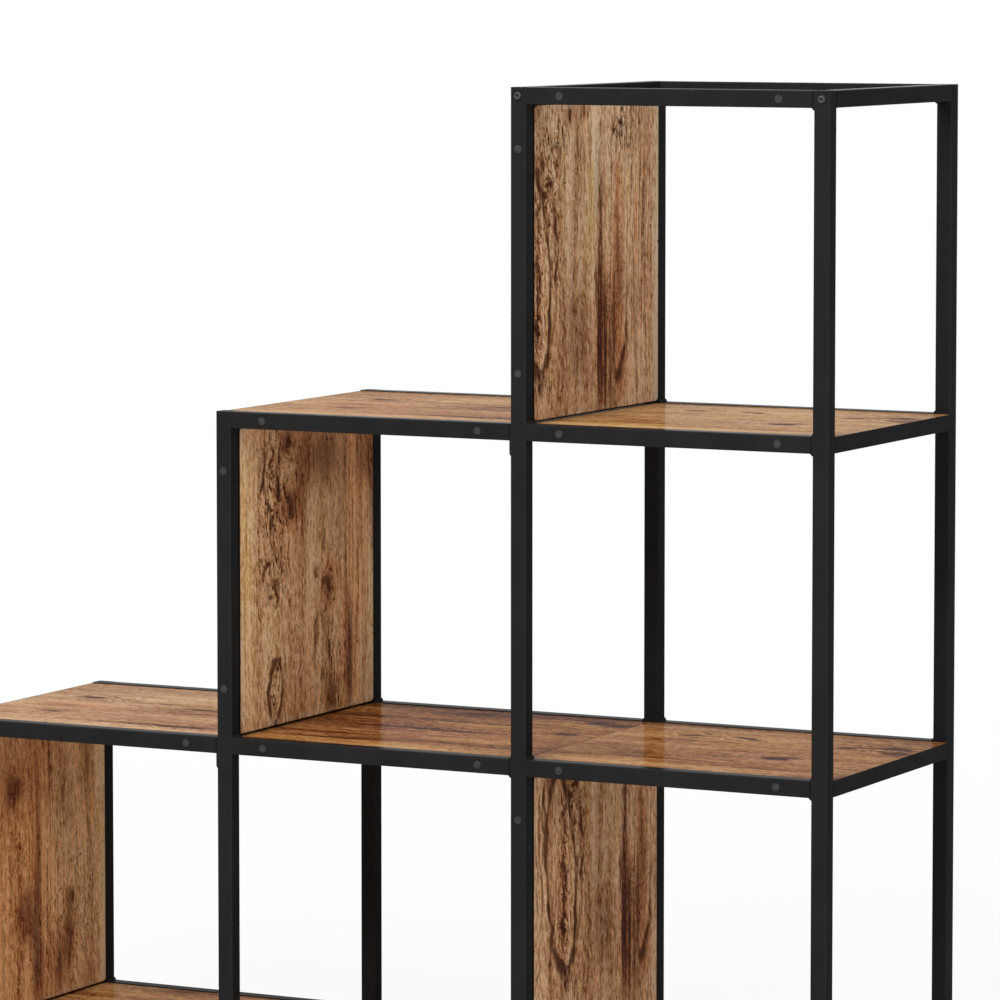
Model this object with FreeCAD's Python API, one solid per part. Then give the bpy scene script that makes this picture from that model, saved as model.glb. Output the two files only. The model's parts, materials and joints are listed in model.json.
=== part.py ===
import FreeCAD, Part
import os

# Stair-step shelving unit: a black square-tube frame of three columns with one, two
# and three cells, filled with wooden boards and side panels.
# Millimetres. X runs left to right, Y front to back, Z up. The origin is on the floor,
# under the middle of the whole unit.

# Frame
left_column_pitch = 397.0
middle_column_pitch = 397.0
right_column_pitch = 385.0
base_row_pitch = 392.0
middle_row_pitch = 395.0
top_row_pitch = 393.0
frame_depth = 383.0

# Square tube
tube_size = 20.0
tube_wall = 1.5
tube_corner = 2.0

# End plates, by which the rails meet the posts. A lap under a rail spreads along it. The plates
# on the left face of a post stand back from the frame's outer face, which leaves a narrow groove.
plate_thickness = 2.0
plate_lap = 3.0
plate_edge = 0.5
plate_spread = 1.5
plate_setback = 1.5
joining_plate_drop = 18.0

# Edge angles, which carry and cover the outer ends of the boards
angle_thickness = 1.0
angle_lip = 12.0

# Boards and side panels
board_thickness = 18.0
board_joint = 0.3
board_arris = 0.6
panel_foot_gap = 1.5
panel_side_gap = 0.3

# Screw caps: on the rails from the posts, on the posts from the rails
cap_diameter = 9.5
cap_height = 0.8
rail_cap_inset = 43.5
post_cap_below_rail = 52.0
post_cap_above_rail = 59.0

# Button-head bolts of the open top frame
bolt_diameter = 5.0
bolt_head_diameter = 9.5
bolt_crown_diameter = 6.5
bolt_head_height = 2.7
bolt_socket_across_flats = 3.0
bolt_socket_depth = 1.6
bolt_tail = 4.0
bolt_clearance = 0.25

# Pan-head screws of the joining plates
joining_screw_diameter = 4.0
joining_screw_head_diameter = 7.0
joining_screw_head_height = 1.8
joining_screw_tail = 6.0

# Play round the threads of bolts and screws
thread_clearance = 0.05

# Small round pieces that repeat are drawn with this many flat sides
peg_sides = 12

# Plastic ends of the posts
end_cap_lip = 1.2
end_cap_depth = 5.0
glide_height = 6.0
glide_stem = 15.0
glide_chamfer = 1.5
insert_clearance = 0.2
insert_corner = 1.2

# Two directions or heights that differ by less than this are the same
tiny = 1e-6

X = FreeCAD.Vector(1, 0, 0)
Y = FreeCAD.Vector(0, 1, 0)
Z = FreeCAD.Vector(0, 0, 1)

# Depth: the frame's two faces, and the space between the front and rear tubes
front_face = -frame_depth / 2
rear_face = frame_depth / 2
inner_front = front_face + tube_size
inner_rear = rear_face - tube_size

# Width: the left face of each post
column_pitches = (left_column_pitch, middle_column_pitch, right_column_pitch)
post_left = [-(sum(column_pitches) + tube_size) / 2]
for pitch in column_pitches:
    post_left.append(post_left[-1] + pitch)

# Height: the underside of each level's rails
row_pitches = (base_row_pitch, middle_row_pitch, top_row_pitch)
rail_bottom = [glide_height]
for pitch in row_pitches:
    rail_bottom.append(rail_bottom[-1] + pitch)

# Layout of the stair: the level that each post reaches, and the rails as (level, column)
column_names = ("left", "middle", "right")
level_names = ("base", "lower", "upper", "top")
columns = range(len(column_names))
levels = range(len(level_names))
post_level = [level_names.index(name) for name in ("lower", "upper", "top", "top")]
posts = range(len(post_level))
rails = [(level, column) for level in levels for column in columns if post_level[column] >= level]

# The top rail of a lower column ends on the side of a taller post, with a joining plate
joints = [(post_level[column], column) for column in columns
          if post_level[column] < post_level[column + 1]]

# The open top frame has side rails between the front and rear posts that reach it
side_rail_posts = [index for index in posts if post_level[index] == levels[-1]]

# Each side panel stands at the left end of one column, above one level
panels = {
    "left_side_panel": ("left", "base"),
    "right_base_side_panel": ("right", "base"),
    "middle_side_panel": ("middle", "lower"),
    "top_side_panel": ("right", "upper"),
}


def post_middle(post_index):
    """X of a post's centre line."""
    return post_left[post_index] + tube_size / 2


def rail_top(level):
    """Height of the upper face of a level's rails."""
    return rail_bottom[level] + tube_size


def board_top(level):
    """Height of the face that things stand on."""
    return rail_bottom[level] + angle_thickness + board_thickness


def bolt_height():
    """The bolts of the top frame sit at the middle of its rails."""
    return rail_bottom[-1] + tube_size / 2


def panel_place(name):
    """The post that a side panel stands behind, and the level that it stands on."""
    column, level = panels[name]
    return column_names.index(column), level_names.index(level)


def outer_end(level, post_index):
    """Whether the boards of a level end at a post, with no board on its other side."""
    boarded = [column for rail_level, column in rails if rail_level == level]
    return post_index in (boarded[0], boarded[-1] + 1)


def box(low, high):
    """A box between two opposite corners, each (x, y, z)."""
    size = [b - a for a, b in zip(low, high)]
    return Part.makeBox(*size, FreeCAD.Vector(*low))


def prism(outline, path):
    """A closed outline of points, carried along a path."""
    points = [FreeCAD.Vector(*point) for point in outline]
    return Part.Face(Part.makePolygon(points + points[:1])).extrude(path)


def peg(radius, foot, path, sides=peg_sides):
    """A small bar with flat sides, from its foot along a path."""
    turns = [FreeCAD.Rotation(path, 360.0 * side / sides) for side in range(sides)]
    return prism([foot + turn.multVec(Z * radius) for turn in turns], path)


def edges_along(shape, direction):
    """The straight edges of a shape that run along a direction."""
    found = []
    for edge in shape.Edges:
        run = edge.Vertexes[-1].Point - edge.Vertexes[0].Point
        if run.cross(direction).Length < tiny:
            found.append(edge)
    return found


def square_tube(low, high, direction):
    """A hollow tube that fills the box between two corners and is open along a direction."""
    outer = box(low, high)
    outer = outer.makeFillet(tube_corner, edges_along(outer, direction))
    wall = [tube_wall * (1 - abs(part)) for part in direction]
    hollow = box([a + w for a, w in zip(low, wall)], [b - w for b, w in zip(high, wall)])
    return outer.cut(hollow)


def post(post_index, front):
    """An upright, cut short by its top cap, with the holes of what is screwed to it."""
    x = post_left[post_index]
    y = front_face if front else inner_rear
    top = rail_top(post_level[post_index]) - end_cap_lip
    tube = square_tube((x, y, glide_height), (x + tube_size, y + tube_size, top), Z)
    if post_index in side_rail_posts:
        entry = FreeCAD.Vector(post_middle(post_index), y, bolt_height())
        tube = tube.cut(Part.makeCylinder(bolt_diameter / 2 + bolt_clearance, tube_size, entry, Y))
    for level, column in joints:
        if post_index == column + 1:
            tube = tube.cut(joining_hole(level, column, front))
    return tube


def rail(level, column, front):
    """A front or rear cross tube, between its two end plates."""
    y = front_face if front else inner_rear
    start = post_left[column] + tube_size + plate_thickness
    end = post_left[column + 1] - plate_thickness
    return square_tube((start, y, rail_bottom[level]), (end, y + tube_size, rail_top(level)), X)


def side_rail(post_index):
    """A cross tube of the open top frame, from front to rear."""
    x = post_left[post_index]
    start = inner_front + plate_thickness
    end = inner_rear - plate_thickness
    return square_tube((x, start, rail_bottom[-1]), (x + tube_size, end, rail_top(levels[-1])), Y)


def lap_section(bottom, top, lap_down, lap_up, spread=0):
    """Side view of a plate as (distance from the post, height). Each lap tapers towards the post."""
    section = [(0, bottom), (plate_thickness, bottom), (plate_thickness, top), (0, top)]
    if lap_down:
        section[:1] = [(0, bottom - lap_down), (plate_edge, bottom - lap_down)]
    if spread:
        section.insert(2, (plate_thickness + spread, bottom))
    if lap_up:
        section[-1:] = [(plate_edge, top + lap_up), (0, top + lap_up)]
    return section


def plate_prism(face, away, section, setback, front):
    """A plate on the side face of a post, which points away from the post by +1 or -1."""
    y = front_face + setback if front else inner_rear
    return prism([(face + away * out, y, z) for out, z in section], Y * (tube_size - setback))


def left_end_plate(level, column, front):
    """The short plate at the left end of a rail. Its lap is above the rail, where its post goes on."""
    lap_up = plate_lap if level < post_level[column] else 0
    section = lap_section(rail_bottom[level], rail_top(level), 0, lap_up)
    return plate_prism(post_left[column] + tube_size, 1, section, 0, front)


def right_end_plate(level, column, front):
    """The short plate at the right end of a rail, with laps where its post goes on."""
    lap_down = plate_lap if level > 0 else 0
    lap_up = plate_lap if level < post_level[column + 1] else 0
    spread = plate_spread if lap_down else 0
    section = lap_section(rail_bottom[level], rail_top(level), lap_down, lap_up, spread)
    return plate_prism(post_left[column + 1], -1, section, plate_setback, front)


def joining_plate(level, column, front):
    """The long plate that carries the end of a lower column's top rail on a taller post."""
    bottom = rail_bottom[level] - joining_plate_drop
    section = lap_section(bottom + plate_lap, rail_top(level), plate_lap, 0)
    plate = plate_prism(post_left[column + 1], -1, section, plate_setback, front)
    return plate.cut(joining_hole(level, column, front))


def joining_seat(level, column, front):
    """Where the head of a joining screw meets its plate."""
    y = (front_face if front else inner_rear) + tube_size / 2
    height = rail_bottom[level] - joining_plate_drop / 2
    return FreeCAD.Vector(post_left[column + 1] - plate_thickness, y, height)


def joining_hole(level, column, front):
    """The hole of a joining screw, through the plate and the near wall of the post."""
    radius = joining_screw_diameter / 2 + thread_clearance
    return peg(radius, joining_seat(level, column, front), X * (plate_thickness + tube_wall))


def joining_screw(level, column, front):
    """A screw through a joining plate, which ends inside the post."""
    seat = joining_seat(level, column, front)
    head = peg(joining_screw_head_diameter / 2, seat, X * -joining_screw_head_height)
    shank = peg(joining_screw_diameter / 2, seat, X * (plate_thickness + joining_screw_tail))
    return head.fuse(shank)


def side_rail_plate(post_index, front):
    """The plate at one end of a side rail, tapped for its bolt."""
    face = inner_front if front else inner_rear
    away = 1 if front else -1
    section = lap_section(rail_bottom[-1], rail_top(levels[-1]), 0, 0)
    plate = prism([(post_left[post_index], face + away * out, z) for out, z in section], X * tube_size)
    entry = FreeCAD.Vector(post_middle(post_index), face, bolt_height())
    radius = bolt_diameter / 2 + thread_clearance
    return plate.cut(Part.makeCylinder(radius, plate_thickness, entry, Y * away))


def top_bolt(post_index, front):
    """A button-head bolt with a hexagon socket, through a post into the plate of a side rail."""
    face = front_face if front else rear_face
    inward = Y if front else -Y
    seat = FreeCAD.Vector(post_middle(post_index), face, bolt_height())
    head = Part.makeCone(
        bolt_head_diameter / 2, bolt_crown_diameter / 2, bolt_head_height, seat, -inward)
    shank = Part.makeCylinder(bolt_diameter / 2, tube_size + plate_thickness + bolt_tail, seat, inward)
    crown = seat - inward * bolt_head_height
    socket = peg(bolt_socket_across_flats / 3 ** 0.5, crown, inward * bolt_socket_depth, sides=6)
    return head.fuse(shank).cut(socket)


def screw_cap(x, z, front):
    """A pressed-in cap that covers the head of a screw."""
    face = front_face if front else rear_face
    outward = -Y if front else Y
    return peg(cap_diameter / 2, FreeCAD.Vector(x, face, z), outward * cap_height)


def rail_caps(front):
    """Two caps on each rail, over the screws that hold the board."""
    caps = []
    for level, column in rails:
        z = rail_bottom[level] + tube_size / 2
        start = post_left[column] + tube_size + rail_cap_inset
        end = post_left[column + 1] - rail_cap_inset
        caps += [screw_cap(start, z, front), screw_cap(end, z, front)]
    return caps


def post_caps(front):
    """Two caps on the post beside each side panel, over the screws that hold the panel."""
    caps = []
    for post_index, level in map(panel_place, panels):
        x = post_middle(post_index)
        caps.append(screw_cap(x, rail_top(level) + post_cap_above_rail, front))
        caps.append(screw_cap(x, rail_bottom[level + 1] - post_cap_below_rail, front))
    return caps


def with_arris(wood):
    """Break the sharp edges of a board."""
    return wood.makeChamfer(board_arris, wood.Edges)


def shelf(level, column):
    """A shelf board. It ends at an edge angle, or meets its neighbour at the middle of a post."""
    if outer_end(level, column):
        left = post_left[column] + angle_thickness
    else:
        left = post_middle(column) + board_joint / 2
    if outer_end(level, column + 1):
        right = post_left[column + 1] + tube_size - angle_thickness
    else:
        right = post_middle(column + 1) - board_joint / 2
    bottom = rail_bottom[level] + angle_thickness
    return with_arris(box((left, inner_front, bottom), (right, inner_rear, board_top(level))))


def side_panel(post_index, level):
    """An upright board between a front and a rear post, flush with their right faces."""
    right = post_left[post_index] + tube_size
    return with_arris(box(
        (right - board_thickness, inner_front + panel_side_gap, board_top(level) + panel_foot_gap),
        (right, inner_rear - panel_side_gap, rail_bottom[level + 1])))


def edge_angle(level, left):
    """A bent steel angle between a front and a rear post: a lip under the board, a leg over its end."""
    ends = [index for index in posts if outer_end(level, index)]
    face = post_left[ends[0]] if left else post_left[ends[-1]] + tube_size
    inward = 1 if left else -1
    low = rail_bottom[level]
    section = (
        (0, low), (angle_lip, low), (angle_lip, low + angle_thickness),
        (angle_thickness, low + angle_thickness), (angle_thickness, board_top(level)),
        (0, board_top(level)))
    outline = [(face + inward * out, inner_front, z) for out, z in section]
    return prism(outline, Y * (inner_rear - inner_front))


def insert_stem(x, y, low, high):
    """A square stem that fits inside the end of a post."""
    inset = tube_wall + insert_clearance
    return box((x + inset, y + inset, low), (x + tube_size - inset, y + tube_size - inset, high))


def end_cap(post_index, front):
    """The plastic cap that closes the top of a post, flush with the rails."""
    x = post_left[post_index]
    y = front_face if front else inner_rear
    top = rail_top(post_level[post_index])
    lip = box((x, y, top - end_cap_lip), (x + tube_size, y + tube_size, top))
    lip = lip.makeChamfer(insert_corner, edges_along(lip, Z))
    return lip.fuse(insert_stem(x, y, top - end_cap_lip - end_cap_depth, top - end_cap_lip))


def glide(post_index, front):
    """The plastic glide that a post stands on."""
    x = post_left[post_index]
    y = front_face if front else inner_rear
    pad = box((x, y, 0), (x + tube_size, y + tube_size, glide_height))
    pad = pad.makeChamfer(insert_corner, edges_along(pad, Z))
    sole = [edge for edge in pad.Edges if edge.BoundBox.ZMax < tiny]
    pad = pad.makeChamfer(glide_chamfer, sole)
    return pad.fuse(insert_stem(x, y, glide_height, glide_height + glide_stem))


def save(name, solids):
    """Write one named sub-part, which is one solid or a group of like solids."""
    shape = solids[0] if len(solids) == 1 else Part.makeCompound(solids)
    shape.exportStep("parts/" + name + ".step")


def save_face(face_name, front):
    """Write the posts, rails, plates and caps of the front or the rear."""
    for post_index in posts:
        save(face_name + "_post_" + str(post_index + 1), [post(post_index, front)])
    for level, column in rails:
        name = "_".join((face_name, level_names[level], "rail", column_names[column]))
        save(name, [rail(level, column, front)])
    plates = [left_end_plate(level, column, front) for level, column in rails]
    plates += [right_end_plate(level, column, front) for level, column in rails
               if (level, column) not in joints]
    save(face_name + "_rail_end_plates", plates)
    save(face_name + "_rail_screw_caps", rail_caps(front))
    save(face_name + "_post_screw_caps", post_caps(front))


def save_shared():
    """Write what joins the front to the rear, and the fittings that both have."""
    faces = (True, False)
    save("top_side_rail_left", [side_rail(side_rail_posts[0])])
    save("top_side_rail_right", [side_rail(side_rail_posts[1])])
    save("top_side_rail_plates", [side_rail_plate(i, front) for i in side_rail_posts for front in faces])
    save("top_frame_bolts", [top_bolt(i, front) for i in side_rail_posts for front in faces])
    save("joining_plates", [joining_plate(*joint, front) for joint in joints for front in faces])
    save("joining_screws", [joining_screw(*joint, front) for joint in joints for front in faces])
    save("post_end_caps", [end_cap(i, front) for i in posts for front in faces])
    save("floor_glides", [glide(i, front) for i in posts for front in faces])


def save_wood():
    """Write the boards, the edge angles that carry their outer ends, and the side panels."""
    for level, column in rails:
        if level < levels[-1]:
            save(level_names[level] + "_shelf_" + column_names[column], [shelf(level, column)])
    for level in levels[:-1]:
        save(level_names[level] + "_edge_angle_left", [edge_angle(level, True)])
        save(level_names[level] + "_edge_angle_right", [edge_angle(level, False)])
    for name in panels:
        save(name, [side_panel(*panel_place(name))])


os.makedirs("parts", exist_ok=True)
save_face("front", True)
save_face("rear", False)
save_shared()
save_wood()
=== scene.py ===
import json
import math

import bpy
import numpy as np
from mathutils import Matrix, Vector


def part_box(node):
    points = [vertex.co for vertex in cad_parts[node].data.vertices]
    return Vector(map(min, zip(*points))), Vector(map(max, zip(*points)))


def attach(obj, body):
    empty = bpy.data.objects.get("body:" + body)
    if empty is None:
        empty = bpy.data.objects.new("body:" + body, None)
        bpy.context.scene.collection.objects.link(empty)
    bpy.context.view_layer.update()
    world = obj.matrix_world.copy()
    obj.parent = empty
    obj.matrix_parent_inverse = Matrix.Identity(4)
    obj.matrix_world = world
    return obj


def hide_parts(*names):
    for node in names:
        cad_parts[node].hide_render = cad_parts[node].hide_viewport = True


# Stair-step shelving unit: black tube frame, rustic boards and side panels.
# Metres. X left to right, Y front to back, Z up, origin on the floor under the middle.

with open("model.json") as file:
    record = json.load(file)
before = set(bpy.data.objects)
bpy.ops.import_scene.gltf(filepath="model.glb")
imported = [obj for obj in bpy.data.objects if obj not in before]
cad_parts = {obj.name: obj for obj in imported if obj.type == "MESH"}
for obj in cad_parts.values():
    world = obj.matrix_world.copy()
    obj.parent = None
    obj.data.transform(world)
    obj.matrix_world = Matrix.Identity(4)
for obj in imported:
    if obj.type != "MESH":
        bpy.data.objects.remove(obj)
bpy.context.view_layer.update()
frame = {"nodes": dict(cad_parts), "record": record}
nodes = frame["nodes"]
print("frame loaded,", len(nodes), "nodes")

millimetre = 0.001


# Shader helpers

def linear(tone):
    # a display colour, 0 to 255, as the linear colour that a socket takes
    parts = [value / 255 for value in tone]
    parts = [p / 12.92 if p <= 0.04045 else ((p + 0.055) / 1.055) ** 2.4 for p in parts]
    return (*parts, 1.0)


class Wire:
    # a socket of a node tree; sums and products of values add their Math nodes
    def __init__(self, tree, socket=None):
        self.tree = tree
        self.socket = socket

    def node(self, kind, settings=None, values=None, output=0):
        made = self.tree.nodes.new("ShaderNode" + kind)
        for name, value in (settings or {}).items():
            if name == "stops":
                while len(made.color_ramp.elements) < len(value):
                    made.color_ramp.elements.new(1.0)
                for stop, (place, tone) in zip(made.color_ramp.elements, value):
                    stop.position = place
                    stop.color = tone
            else:
                setattr(made, name, value)
        for key, value in (values or {}).items():
            if isinstance(value, Wire):
                self.tree.links.new(value.socket, made.inputs[key])
            else:
                made.inputs[key].default_value = value
        return Wire(self.tree, made.outputs[output] if made.outputs else None)

    def attribute(self, name, output="Fac"):
        return self.node("Attribute", {"attribute_name": name}, output=output)

    def math(self, operation, *values):
        return self.node("Math", {"operation": operation}, dict(enumerate(values)))

    def size(self):
        return self.math("ABSOLUTE", self)

    def larger(self, other):
        return self.math("MAXIMUM", self, other)

    def __add__(self, other):
        return self.math("ADD", self, other)

    __radd__ = __add__

    def __sub__(self, other):
        return self.math("SUBTRACT", self, other)

    def __rsub__(self, other):
        return self.math("SUBTRACT", other, self)

    def __mul__(self, other):
        return self.math("MULTIPLY", self, other)

    __rmul__ = __mul__

    def scaled(self, factors):
        # a vector, each part times its own factor
        return self.node("VectorMath", {"operation": "MULTIPLY"}, {0: self, 1: factors})

    def moved(self, offset):
        return self.node("VectorMath", {"operation": "ADD"}, {0: self, 1: offset})

    def step(self, low, high):
        # 0 below low, 1 above high, smooth between
        return self.node("MapRange", {"interpolation_type": "SMOOTHSTEP"},
                         {"Value": self, "From Min": low, "From Max": high})

    def noise(self, detail=2.0, roughness=0.5, distortion=0.0):
        return self.node("TexNoise", None, {"Vector": self, "Scale": 1.0, "Detail": detail,
                                            "Roughness": roughness, "Distortion": distortion})

    def blend(self, first, second, mode="MIX"):
        # first where this is 0, second where it is 1
        return self.node("Mix", {"data_type": "RGBA", "blend_type": mode},
                         {0: self, 6: first, 7: second}, output=2)

    def split(self):
        return [self.node("SeparateXYZ", None, {0: self}, output=part) for part in range(3)]


def startMaterial(name):
    material = bpy.data.materials.new(name)
    material.use_nodes = True
    material.node_tree.nodes.clear()
    return material, Wire(material.node_tree)


def finishMaterial(wire, values):
    shader = wire.node("BsdfPrincipled", None, values)
    wire.node("OutputMaterial", None, {"Surface": shader})


steelLook = {
    "coat": (32, 32, 32),
    "paler": (36, 36, 36),
    "edge": (43, 43, 42),          # painted highlight of the rounded corners
    "dust": (58, 57, 55),
    # cells of each noise per metre along X, Y and Z
    "peelCells": (1300, 1300, 1300),
    "patchCells": (22, 22, 9),
    "dustCells": (260, 260, 260),
    # the values at which a field starts to count and counts in full
    "patchEdges": (0.3, 0.7),
    "dustEdges": (0.62, 0.8),
    "flatEdges": (0.82, 0.99),     # of the largest part of the surface's direction
    "cornerHighlightCover": 0.45,
    "dustCover": 0.3,
    "roughness": 0.15,
    "patchRoughness": 0.1,         # what the paler patches add
    "peelStrength": 0.2,
    "peelDepth": 0.03 * millimetre,
    "specular": 0.0028,            # only grazing views mirror the room
}


def steelMaterial():
    # satin powder coat: fine orange-peel skin, paler patches, faint dust, painted highlight on the corners
    look = steelLook
    material, wire = startMaterial("blackPowderCoat")
    place = wire.node("TexCoord", output="Object")
    nx, ny, nz = wire.node("NewGeometry", output="True Normal").split()
    flatness = nx.size().larger(ny.size()).larger(nz.size())
    peel = place.scaled(look["peelCells"]).noise()
    patches = place.scaled(look["patchCells"]).noise(3.0, 0.6)
    dust = place.scaled(look["dustCells"]).noise(3.0, 0.7).step(*look["dustEdges"])
    base = patches.step(*look["patchEdges"]).blend(linear(look["coat"]), linear(look["paler"]))
    # painted highlight along the rounded corners, stronger in the paler patches
    corner = (1 - flatness.step(*look["flatEdges"])) * (look["cornerHighlightCover"] + patches)
    base = corner.blend(base, linear(look["edge"]))
    base = (dust * look["dustCover"]).blend(base, linear(look["dust"]))
    bump = wire.node("Bump", None, {"Strength": look["peelStrength"], "Distance": look["peelDepth"],
                                    "Height": peel})
    roughness = look["roughness"] + patches * look["patchRoughness"]
    finishMaterial(wire, {"Base Color": base, "Roughness": roughness,
                          "Specular IOR Level": look["specular"], "Normal": bump})
    return material


plasticLook = {
    "grainCells": (2600, 2600, 2600),
    "cloudCells": (180, 180, 180),
    "cloudEdges": (0.35, 0.65),
    "darker": 0.9,                 # share of its tone that a darker cloud has
    "cloudRoughness": 0.15,
    "grainStrength": 0.3,
    "grainDepth": 0.03 * millimetre,
    "specular": 0.05,
}


def plasticMaterial(name, tone, roughness):
    # moulded plastic with a fine spark-eroded grain
    look = plasticLook
    material, wire = startMaterial(name)
    place = wire.node("TexCoord", output="Object")
    grain = place.scaled(look["grainCells"]).noise()
    clouds = place.scaled(look["cloudCells"]).noise()
    dark = linear([value * look["darker"] for value in tone])
    base = clouds.step(*look["cloudEdges"]).blend(dark, linear(tone))
    bump = wire.node("Bump", None, {"Strength": look["grainStrength"], "Distance": look["grainDepth"],
                                    "Height": grain})
    finishMaterial(wire, {"Base Color": base, "Roughness": roughness + clouds * look["cloudRoughness"],
                          "Specular IOR Level": look["specular"], "Normal": bump})
    return material


zincLook = {
    "coat": (54, 54, 55),
    "bright": (72, 71, 70),
    # painted shade deep in the socket and the cross recess
    "recessShade": (16, 16, 16),
    "wearCells": (900, 900, 900),
    "wearEdges": (0.4, 0.75),
    "metallic": 0.3,
    "roughness": 0.5,
    "wornSmooth": 0.15,            # how much smoother it is where it is worn
    "wearStrength": 0.25,
    "wearDepth": 0.03 * millimetre,
}


def zincMaterial():
    # dark zinc of bolts and screws, worn a little brighter in places, with painted shade in its "recess"
    look = zincLook
    material, wire = startMaterial("darkZinc")
    place = wire.node("TexCoord", output="Object")
    wear = place.scaled(look["wearCells"]).noise(3.0, 0.6).step(*look["wearEdges"])
    base = wear.blend(linear(look["coat"]), linear(look["bright"]))
    base = wire.attribute("recess").blend(base, linear(look["recessShade"]))
    bump = wire.node("Bump", None, {"Strength": look["wearStrength"], "Distance": look["wearDepth"],
                                    "Height": wear})
    finishMaterial(wire, {"Base Color": base, "Metallic": look["metallic"],
                          "Roughness": look["roughness"] - wear * look["wornSmooth"], "Normal": bump})
    return material


woodLook = {
    # tones of the print from dark to light, at their places on the ramp
    "tones": [(0.0, (66, 32, 18)), (0.14, (98, 56, 33)), (0.28, (134, 85, 54)), (0.42, (162, 115, 79)),
              (0.56, (186, 141, 103)), (0.70, (203, 162, 123)), (0.85, (219, 181, 143)),
              (1.0, (236, 205, 170))],
    "middle": 0.57,                    # the place of plain wood on the ramp
    # noises of the print: cells per metre across, along and through the board, detail, roughness
    # and distortion
    "noises": {
        "broad": ((26, 2.6, 26), 2.0, 0.5),
        "bands": ((95, 6, 95), 3.0, 0.6),
        "stripes": ((230, 5, 230), 2.0, 0.6),
        "fibres": ((640, 18, 640), 2.0, 0.6),
        "mottle": ((200, 100, 200), 4.0, 0.75),
        "crust": ((110, 42, 110), 4.0, 0.62, 0.9),
        "strokes": ((250, 120, 250), 1.5, 0.5),
    },
    "lean": 0.45,                      # slant of the short strokes, in radians
    "ridge": (0.0024, 0.0018, 0.0),    # from a raised ridge of the print to its shadow
    "warm": (1.0, 0.83, 0.69, 1.0),    # tints, which multiply
    "yellow": (1.0, 0.99, 0.73, 1.0),
    "grey": (0.83, 0.88, 0.94, 1.0),
    "gold": (1.0, 0.955, 0.82, 1.0),
    "hueEdges": (0.0, 0.9),
    "greyEdges": (0.25, 0.9),
    # marks on the wood: colour, the values at which a field starts to show and shows in full, and
    # how much of the wood the mark covers then
    "marks": {
        "stain": ((80, 43, 38), (0.05, 1.15), 0.75),
        "streak": ((64, 30, 22), (0.40, 0.70), 0.86),
        "knot": ((72, 38, 24), (0.15, 1.1), 0.7),
        "crack": ((74, 40, 23), (0.22, 0.70), 0.85),
        "bark": ((74, 40, 22), (0.16, 0.26), 0.8),
        "stroke": ((50, 27, 14), (0.21, 0.26), 0.85),
        # painted highlight: a pale mottled strip just inside the panel's edge
        "arrisHighlight": ((188, 180, 166), (-0.2, 0.6), 0.5),
    },
    "barkChecks": (0.05, 0.4),         # bark shows only in the fields of checks
    "highlightFrom": (3.0, 4.0),            # mm from the board's edge to its painted highlight strip
    "highlightTo": (5.0, 9.0),
    "jointShadeTo": (1.4, 2.8),               # mm that the painted shade of its joint reaches in
    "rim": (20, 15, 12),
    # painted shade in the joints round each panel
    "roughness": 0.52,
    "streakRoughness": 0.15,
    "bumpStrength": 0.5,
    "bumpDepth": 0.4 * millimetre,
    "coat": 0.2,
    "coatRoughness": 0.12,
    "coatIor": 1.12,
}


def woodNoise(place, name):
    # one noise of the print, about -0.5 to 0.5
    cells, *settings = woodLook["noises"][name]
    return place.scaled(cells).noise(*settings) - 0.5


def markMask(name, field):
    # where a mark of the print lies, from 0 to its full cover
    _, edges, cover = woodLook["marks"][name]
    return field.step(*edges) * cover


def printMark(mask, wood, name):
    # the mark's colour laid over the wood
    return mask.blend(wood, linear(woodLook["marks"][name][0]))


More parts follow.
